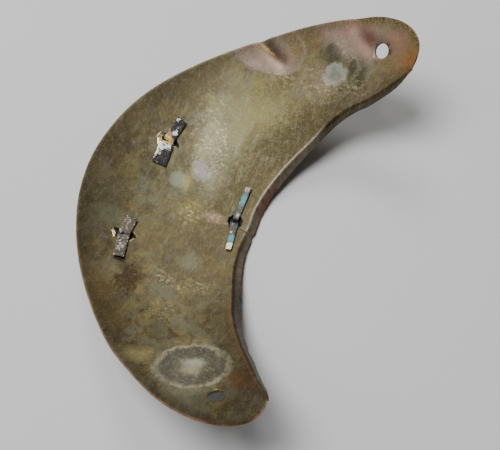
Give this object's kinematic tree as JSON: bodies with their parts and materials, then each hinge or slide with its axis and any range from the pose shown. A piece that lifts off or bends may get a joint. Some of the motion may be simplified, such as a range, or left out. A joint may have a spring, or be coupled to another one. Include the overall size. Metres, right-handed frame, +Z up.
{
  "type": "officer's gorget",
  "caption": "Crescent of patinated sheet brass worn below the throat, with a turned neck edge, two cord holes and a plain front badge held by bent prongs.",
  "frame": {"origin": "middle of the gorget's outline, on the surface that it lies on", "axes": "+X from the left horn to the right horn, +Y from the belly to the neck hollow, +Z up out of the hollow back"},
  "size_m": [0.148, 0.0948, 0.0425],
  "materials": {
    "patinated_brass": "olive-brown patina with worn, stained and reddened places",
    "grey_metal": "worn silvered metal, dark with bright scratches and green salts"
  },
  "bodies": {
    "root": {"plate": "patinated_brass", "badge": "grey_metal"}
  },
  "joints": []
}
